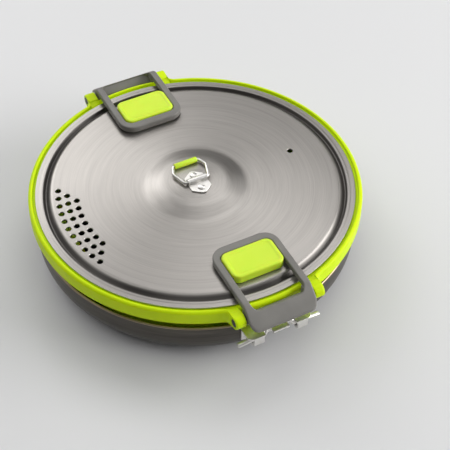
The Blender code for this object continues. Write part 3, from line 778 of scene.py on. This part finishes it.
def ring_outlines():
    """The ring's outer wall, a lug's outer wall, and the part inside that both share."""
    wall = arc((LIP_RADIUS + LIP_EDGE, RIM_TOP - LIP_EDGE), LIP_EDGE, 180, 90, 7)[:-1]
    wall += arc((RIM_RADIUS - RIM_EDGE, RIM_TOP - RIM_EDGE), RIM_EDGE, 90, 0, 14)
    wall += arc((RIM_RADIUS - 0.9, RIM_BOTTOM + 0.9), 0.9, 0, -90, 6)
    wall += [Vector((LIP_RADIUS + 0.2, RIM_BOTTOM))]
    nose = arc((HINGE_OUT, HINGE_Z), LUG_NOSE, 108, -90, 26)
    lug = wall[:7] + nose
    lug += [Vector((LIP_RADIUS + 0.5, RIM_BOTTOM + 0.5)), wall[-1]]
    shared = rounded([(LIP_RADIUS + 0.2, RIM_BOTTOM, 0), (104.6, RING_LOW, 0.3),
                      (RING_INNER, RING_LOW, 0.4), (RING_INNER, 42.3, 0.6),
                      (MOUTH_RADIUS, 42.6, 1.2), (MOUTH_RADIUS, LEDGE_Z, 0.5),
                      (LIP_RADIUS, LEDGE_Z, 0.3), (LIP_RADIUS, RIM_TOP - LIP_EDGE, 0)], False)
    return resampled(wall, OUTER_POINTS), resampled(lug, OUTER_POINTS), shared[1:]


def relieved(point):
    """The ring's wall cut back between its lugs, where the latch's tongue swings."""
    limit = RELIEF_OUT + max(0.0, point.y - RELIEF_Z) * 2.5
    return Vector((min(point.x, limit), point.y))


def lug_stations():
    """(distance along, share of lug, relief) from the middle of a latch to past its lugs."""
    rows = [(x, 0.0, 1.0) for x in (0, 4, 8, 12, 16, 19, 21, 22.3, 23.0)]
    rows += [(LUG_FROM, 0.0, 1.0), (LUG_FROM, 0.5, 0.5), (LUG_FROM, 0.93, 0.0)]
    rows += [(LUG_FROM + 0.15, 0.975, 0.0), (LUG_FROM + 0.5, 1.0, 0.0)]
    rows += [(x, 1.0, 0.0) for x in (24.5, 26.0, 28.0, LUG_TO - 0.6)]
    rows += [(LUG_TO - 0.17, 0.975, 0.0), (LUG_TO, 0.93, 0.0), (LUG_TO, 0.65, 0.0)]
    for k in range(9):
        turn = math.radians(90 - 11.25 * k)
        rows.append((LUG_TO + LUG_FLARE * (1 - math.sin(turn)),
                     0.36 * (1 - math.cos(turn)), 0.0))
    return rows + [(x, 0.0, 0.0) for x in (36.0, 39.0, 42.0, 45.0, 48.0)]


def rim_ring():
    """The lime rim: its ledge and lip for the lid, and four lugs that flow out of its wall."""
    wall, lug, shared = ring_outlines()
    turn_in, turn_out = 36.0, 52.0

    def section(reference, lug_share, relief):
        """One section: flat across the lugs, then turning to point at the axis."""
        k = min(max((abs(reference) - turn_in) / (turn_out - turn_in), 0.0), 1.0)
        k = k * k * (3 - 2 * k)
        made = []
        for j in range(OUTER_POINTS):
            plain = wall[j].lerp(relieved(wall[j]), relief)
            x = reference * (plain.x / LIP_RADIUS) ** k
            y = -math.sqrt(plain.x ** 2 - x ** 2)
            nose = lug[j]
            made.append(Vector((x, y, plain.y)).lerp(Vector((x, -nose.x, nose.y)), lug_share))
        for point in shared[:-1]:
            x = reference * (point.x / LIP_RADIUS) ** k
            made.append(Vector((x, -math.sqrt(point.x ** 2 - x ** 2), point.y)))
        return made

    half = [section(*row) for row in lug_stations()]
    start = math.asin(turn_out / LIP_RADIUS)
    around = 56
    for k in range(around + 1):
        angle = start + (math.pi - 2 * start) * k / around
        c, s = math.cos(angle), math.sin(angle)
        half.append([Vector((p.x * s, -p.x * c, p.y)) for p in wall + shared[:-1]])
    rear = [[Vector((p.x, -p.y, p.z)) for p in section(*row)] for row in lug_stations()]
    right = half + rear[::-1]
    left = [[Vector((-p.x, p.y, p.z)) for p in one] for one in right[1:-1]]
    ring = solid("rim", loft(right + left[::-1], closed=True))
    bores = []
    for hinge in (FRONT_HINGE, REAR_HINGE):
        bores.append(tube([hinge + Vector((-33, 0, 0)), hinge + Vector((33, 0, 0))],
                          BORE_RADIUS, 32))
    combine(ring, together(*bores))
    finish_piece(ring, lime, "rim", ["rim_ring"], 38)


# ---- latches ----

def latch_top(out):
    """Height of the latch's top above its hinge: flat, then bent down past the rim."""
    if out <= LATCH_BEND:
        return LATCH_TOP
    reach = out - LATCH_BEND
    return LATCH_TOP - TONGUE_SLOPE * (math.hypot(reach, BEND_SOFTNESS) - BEND_SOFTNESS)


def loop_points(half_width, inner, outer, inner_round, outer_round, inset=0.0):
    """A rounded rectangle as (across, outward) points, matched in count to any other."""
    corner_steps, long_steps, short_steps = 10, 22, 14
    half, low, high = half_width - inset, inner + inset, outer - inset
    near, far = max(inner_round - inset, 0.05), max(outer_round - inset, 0.05)
    corners = ((half - far, high - far, far, 0), (-half + far, high - far, far, 90),
               (-half + near, low + near, near, 180), (half - near, low + near, near, 270))
    points = []
    for k, (x, p, radius, angle) in enumerate(corners):
        turn = arc((x, p), radius, angle, angle + 90, corner_steps)
        points += turn
        after = corners[(k + 1) % 4]
        goal = arc(after[:2], after[2], after[3], after[3] + 90, 2)[0]
        steps = short_steps if k % 2 == 0 else long_steps
        points += [turn[-1].lerp(goal, j / steps) for j in range(1, steps)]
    return points


def latch_shape():
    """The loop plate: rounded edges outside, a rounded window, and the bend over the rim."""
    outer = lambda inset: loop_points(LATCH_HALF_WIDTH, LATCH_INNER, LATCH_OUTER,
                                      INNER_ROUND, PLATE_ROUND, inset)
    window = lambda inset: loop_points(WINDOW_HALF_WIDTH, WINDOW_INNER, WINDOW_OUTER,
                                       PLATE_ROUND, PLATE_ROUND, inset)

    def level(points, depth):
        made = []
        for x, p in points:
            share = max(p - LATCH_BEND, 0.0) / (LATCH_OUTER - LATCH_BEND)
            deep = depth * (1 - TONGUE_TAPER * share / LATCH_THICKNESS)
            made.append(Vector((x, -p, latch_top(p) - deep)))
        return made

    edge, lip, under = 1.0, 0.75, 0.5
    sections = []
    for k in range(5):
        turn = math.pi / 2 * k / 4
        sections.append(level(outer(edge * (1 - math.cos(turn))), edge * (1 - math.sin(turn))))
    first, last, rows = outer(edge), window(-lip), 10
    for k in range(1, rows):
        sections.append(level([a.lerp(b, k / rows) for a, b in zip(first, last)], 0.0))
    for k in range(5):
        turn = math.pi / 2 * k / 4
        sections.append(level(window(-lip * (1 - math.sin(turn))), lip * (1 - math.cos(turn))))
    bottom = LATCH_THICKNESS
    sections += [level(window(0.0), bottom - under), level(window(-under * 0.3),
                                                           bottom - under * 0.3)]
    first, last = window(-under), outer(under)
    for k in range(0, rows + 1):
        sections.append(level([a.lerp(b, k / rows) for a, b in zip(first, last)], bottom))
    sections += [level(outer(under * 0.3), bottom - under * 0.3),
                 level(outer(0.0), bottom - under)]
    return loft(sections, closed=True)


def pad_shape():
    """The thumb pad: rounded corners, a soft top edge and a shallow dish inside a border."""
    half, inner, outer, corner = WINDOW_HALF_WIDTH - 0.5, WINDOW_INNER + 0.5, PAD_OUTER, 4.8
    border = 2.2
    ring = lambda inset: loop_points(half, inner, outer, corner, corner, inset)
    lift = lambda inset, z: [Vector((x, -p, z)) for x, p in ring(inset)]
    sections = [lift(0.5, PAD_LOW), lift(0.0, PAD_LOW + 0.5), lift(0.0, PAD_TOP - PAD_EDGE)]
    for k in range(1, 6):
        turn = math.pi / 2 * k / 5
        sections.append(lift(PAD_EDGE * (1 - math.cos(turn)),
                             PAD_TOP - PAD_EDGE * (1 - math.sin(turn))))
    for k in range(1, 7):
        share = k / 6
        fall = share * share * (3 - 2 * share)
        sections.append(lift(PAD_EDGE + border * (0.35 + 0.65 * share), PAD_TOP - PAD_DISH * fall))
    return loft(sections)


def latch(side, hinge, turn):
    """One latch, made about its own hinge line and then set on its hinge."""
    body = f"{side}_latch"
    place = Matrix.Translation(hinge * MM) @ Matrix.Rotation(turn, 4, "Z")
    plate = solid(f"{side}_latch_loop", latch_shape())
    web_edge = WINDOW_HALF_WIDTH + 1.0
    web = [(-web_edge, 25.4), (web_edge, 25.4), (web_edge, 45.8), (-web_edge, 45.8)]
    combine(plate, prism([Vector(p) for p in web], WEB_LOW, WEB_HIGH), "UNION")
    barrel = arc((0, 0), BARREL_RADIUS, 180, 360, 25)
    barrel += [Vector(p) for p in ((BARREL_RADIUS, 5.6), (0.0, 5.6), (-2.8, 3.6))]
    barrels = [bevelled(barrel, *sorted((s * BARREL_FROM, s * BARREL_TO)), 0.4, "X") for s in (-1, 1)]
    combine(plate, together(*barrels), "UNION")
    spine = [(-0.3, 3.6), (-WINDOW_OUTER - 0.1, 4.9), (-4.2, 2.8), (-3.4, -0.2)]
    spine = [Vector(p) for p in spine] + arc((0, 0), HUB_RADIUS, 200, 380, 25)
    combine(plate, prism(spine, -HUB_END, HUB_END, "X"), "UNION")
    bores = [tube([(s * BORE_FROM, 0, 0), (s * BORE_TO, 0, 0)], BORE_RADIUS, 32) for s in (-1, 1)]
    combine(plate, together(*bores))
    plate.data.transform(place)
    finish_piece(plate, grey, body, [f"{side}_latch_frame"], 34)
    pad = solid(f"{side}_thumb_pad", pad_shape())
    slit = [(-24, 25.0), (24, 25.0), (24, 47.8), (-24, 47.8)]
    combine(pad, prism([Vector(p) for p in slit], WEB_LOW - 0.3, WEB_HIGH + 0.3))
    pad.data.transform(place)
    finish_piece(pad, silicone, body, [f"{side}_latch_pad"], 40)
    for hand, sign in (("left", -1), ("right", 1)):
        end = sign * PIN_TO
        line = [(sign * PIN_FROM, 0, 0), (sign * (PIN_FROM + 0.4), 0, 0), (end - sign * 0.35, 0, 0),
                (end - sign * 0.1, 0, 0), (end, 0, 0)]
        radii = [PIN_RADIUS - 0.3, PIN_RADIUS, PIN_RADIUS, PIN_RADIUS - 0.08, PIN_RADIUS - 0.35]
        pin = solid(f"{side}_hinge_pin_{hand}", tube(line, radii, 32))
        pin.data.transform(place)
        finish_piece(pin, pin_dark, body, [f"{side}_pin_{hand}"], 40)


# ---- lid ----

def lid_disc():
    """The pressed lid: a domed boss, a flat, a stiffening groove and bead, and a flange."""
    top = LID_TOP
    upper = [(0, top + BOSS_HEIGHT, 0), (21.6, top + BOSS_HEIGHT, 22.0),
             (32.6, top + 0.12, 16.0), (36.0, top, 3.0), (60.0, top, 0), (93.2, top, 3.0),
             (96.3, top - 3.1, 1.3), (97.2, top - 3.3, 0.7), (98.3, top - 0.8, 0.7),
             (99.9, top - 0.75, 0.6), (100.6, top - 1.0, 0.5),
             (102.0, top - 1.0, 0), (LID_RADIUS, top - 1.0, 0.3)]
    under = [(r, z - LID_THICKNESS, f) for r, z, f in reversed(upper)]
    outline = rounded(upper + under, closed=False, step=math.radians(6))
    lid = solid("lid_disc", lathe(outline, False, 256))
    tools = []

    def hole(radius, at, top_z, flare):
        line = [(0, top_z - 6), (radius + flare * 2, top_z - 6)]
        line += [(radius + flare * 2, top_z - LID_THICKNESS - flare),
                 (radius, top_z - LID_THICKNESS + flare), (radius, top_z - flare),
                 (radius + flare * 2, top_z + flare), (radius + flare * 2, top_z + 3),
                 (0, top_z + 3)]
        tools.append(lathe(line, False, 32, at))

    for radius, count in STRAINER_ROWS:
        for k in range(count):
            angle = math.pi + HOLE_PITCH / radius * (k - (count - 1) / 2)
            hole(HOLE_RADIUS, (radius * math.cos(angle), radius * math.sin(angle)), top, 0.2)
    hole(HOLE_RADIUS, (VENT_AT, 0), top, 0.2)
    for y in RIVET_PLACES:
        hole(RIVET_HOLE, (0, y), top + BOSS_HEIGHT, 0.05)
    combine(lid, together(*tools))
    finish_piece(lid, lid_metal, "lid", ["lid"], 35)


def bail_bracket():
    """The strap: a pointed plate each side of the bail, folded over its wire."""
    seat = LID_TOP + BOSS_HEIGHT + 0.3
    crown, wire_z = BAIL_WIRE + 0.35, BAIL_AXIS.z
    middle = [(2.3, seat), (crown + 0.25, seat + 0.7), (crown, wire_z)]
    middle += [(y, z) for y, z in arc((0, wire_z), crown, 18, 162, 11)]
    middle += [(-crown, wire_z), (-crown - 0.25, seat + 0.7), (-2.3, seat)]
    line = [(9.0, seat, 0.9), (8.2, seat, 2.2), (6.7, seat, 4.4), (5.2, seat, 6.4),
            (4.9, seat, 6.6), (3.6, seat, 6.7)]
    line += [(y, z, 6.8) for y, z in middle]
    line += [(-4.0, seat, 6.9), (-6.6, seat, 7.0), (-7.1, seat, 6.8), (-8.8, seat, 4.7),
             (-10.6, seat, 2.4), (-11.4, seat, 1.0)]
    bevel = 0.22
    sections = []
    for k, (y, z, wide) in enumerate(line):
        before, after = line[max(k - 1, 0)], line[min(k + 1, len(line) - 1)]
        along = Vector((after[0] - before[0], after[1] - before[1])).normalized()
        up = Vector((along.y, -along.x))
        rim = [(-wide, 0.0), (wide, 0.0), (wide, STRAP_STEEL - bevel),
               (wide - bevel, STRAP_STEEL), (-wide + bevel, STRAP_STEEL),
               (-wide, STRAP_STEEL - bevel)]
        sections.append([Vector((x, y + BAIL_AXIS.y + up.x * h, z + up.y * h)) for x, h in rim])
    strap = solid("bail_strap", loft(sections))
    holes = [lathe([(0, seat - 2), (RIVET_HOLE, seat - 2), (RIVET_HOLE, seat + 2),
                    (0, seat + 2)], False, 24, (0, y)) for y in RIVET_PLACES]
    combine(strap, together(*holes))
    finish_piece(strap, steel, "lid", ["bail_bracket"], 28)
    head = LID_TOP + BOSS_HEIGHT + STRAP_STEEL + 0.6
    under = LID_TOP + BOSS_HEIGHT - LID_THICKNESS - 0.3
    dome = [Vector((0, head + 0.9))]
    dome += [Vector((RIVET_HEAD * math.sin(a), head + 0.2 + 0.7 * math.cos(a)))
             for a in [math.radians(12 * k) for k in range(1, 8)]]
    dome += [Vector(p) for p in ((RIVET_HEAD, head + 0.2), (RIVET_HEAD, head),
                                 (RIVET_SHANK, head), (RIVET_SHANK, under),
                                 (2.6, under), (2.6, under - 0.4), (2.0, under - 1.0),
                                 (0, under - 1.0))]
    for name, y in (("front", RIVET_PLACES[0]), ("rear", RIVET_PLACES[1])):
        rivet = solid(f"strap_rivet_{name}", lathe(dome, False, 32, (0, y)))
        finish_piece(rivet, steel, "lid", [f"bail_rivet_{name}"], 35)


def bail():
    """The wire bail, a six-sided loop with soft bends, and the lime sleeve on its far side."""
    half = [(8.4, 0), (11.6, 10.6), (9.2, BAIL_REACH)]
    corners = half + [(-x, y) for x, y in reversed(half)]
    flat = rounded([(x, y, 2.2) for x, y in corners], step=math.radians(8))
    path = [BAIL_AXIS + Vector((p.x, p.y, 0)) for p in flat]
    dense = []
    for a, b in zip(path, path[1:] + path[:1]):
        steps = max(1, round((b - a).length / 2.0))
        dense += [a.lerp(b, k / steps) for k in range(steps)]
    wire = solid("bail_loop", tube(dense, BAIL_WIRE, 16, closed=True))
    finish_piece(wire, steel, "bail", ["bail_wire"], 50)
    soft, end = 0.35, SLEEVE_HALF_LENGTH
    line = [(-end, -0.25), (-end + 0.12, -0.08), (-end + soft, 0.0), (end - soft, 0.0),
            (end - 0.12, -0.08), (end, -0.25)]
    at = BAIL_AXIS + Vector((0, BAIL_REACH, 0))
    sleeve = solid("bail_grip", tube([at + Vector((x, 0, 0)) for x, _ in line],
                                     [BAIL_SLEEVE + less for _, less in line], 32))
    combine(sleeve, tube([at + Vector((-10, 0, 0)), at + Vector((10, 0, 0))],
                         BAIL_WIRE + 0.3, 20))
    finish_piece(sleeve, silicone, "bail", ["bail_sleeve"], 40)


# ---- studio ----

def floor():
    """A pale floor, wide enough to fill every view."""
    reach = 4000.0
    ground = solid("floor", ([(-reach, -reach, 0), (reach, -reach, 0), (reach, reach, 0),
                              (-reach, reach, 0)], [[0, 1, 2, 3]]))
    made = Finish("floor_paper", (0.76, 0.76, 0.765), 0.5)
    made.set("Specular IOR Level", 0.3)
    ground.data.materials.append(made.material)


def softbox(name, at, target, size, power):
    """A rectangular light that faces a point."""
    data = bpy.data.lights.new(name, "AREA")
    data.shape = "RECTANGLE"
    data.size, data.size_y = size
    data.energy = power
    lamp = bpy.data.objects.new(name, data)
    bpy.context.scene.collection.objects.link(lamp)
    lamp.location = Vector(at)
    lamp.rotation_mode = "QUATERNION"
    lamp.rotation_quaternion = (Vector(target) - Vector(at)).to_track_quat("-Z", "Y")


def heading(angle):
    """Camera-based directions on the floor: 0 looks away from the camera, 90 to its right."""
    turn = math.radians(CAMERA_HEADING + angle)
    return Vector((math.sin(turn), math.cos(turn), 0))


def studio():
    """Plain soft light: a high key behind and to the right, softboxes at each side, and fills."""
    centre = Vector((0, 0, 0.04))
    for name, angle, height, size, power in (
            ("key", 20, 62, (0.8, 0.8), 4.0),
            ("rear_left_box", -30, 38, (0.9, 0.9), 6.4),
            ("rear_right_box", 50, 22, (0.9, 0.9), 2.0),
            ("low_left_box", -50, 22, (0.9, 0.9), 2.2),
            ("right_box", 92, 22, (1.2, 1.0), 21.0),
            ("left_box", -92, 50, (1.2, 1.2), 4.2),
            ("front_box", 170, 66, (1.3, 1.3), 4.6)):
        lift = math.radians(height)
        way = heading(angle) * math.cos(lift) + Vector((0, 0, math.sin(lift)))
        softbox(name, way * LIGHT_DISTANCE, centre, size, power)
    world = bpy.data.worlds.new("studio")
    world.use_nodes = True
    back = world.node_tree.nodes["Background"]
    back.inputs["Color"].default_value = (1.0, 1.0, 1.0, 1.0)
    back.inputs["Strength"].default_value = WORLD_STRENGTH
    bpy.context.scene.world = world


def camera():
    """A long lens at the set's front left, looking down on it."""
    down, roll = math.radians(CAMERA_ELEVATION), math.radians(CAMERA_ROLL)
    ahead = heading(0) * math.cos(down) - Vector((0, 0, math.sin(down)))
    level = ahead.cross(Vector((0, 0, 1))).normalized()
    upright = level.cross(ahead)
    across = level * math.cos(roll) + upright * math.sin(roll)
    upwards = upright * math.cos(roll) - level * math.sin(roll)
    data = bpy.data.cameras.new("camera")
    data.lens = CAMERA_LENS
    data.sensor_width = 36.0
    data.clip_start, data.clip_end = 0.05, 50.0
    made = bpy.data.objects.new("camera", data)
    bpy.context.scene.collection.objects.link(made)
    turn = Matrix((across, upwards, -ahead)).transposed().to_4x4()
    made.matrix_world = Matrix.Translation(CAMERA_AIM - ahead * CAMERA_DISTANCE) @ turn
    bpy.context.scene.camera = made


fry_pan()
pan_bracket()
pan_rivets()
pan_handle()
pot_parts()
rim_ring()
latch("front", FRONT_HINGE, 0.0)
latch("rear", REAR_HINGE, math.pi)
lid_disc()
bail_bracket()
bail()
floor()
studio()
camera()
bpy.context.scene.view_settings.view_transform = "Standard"
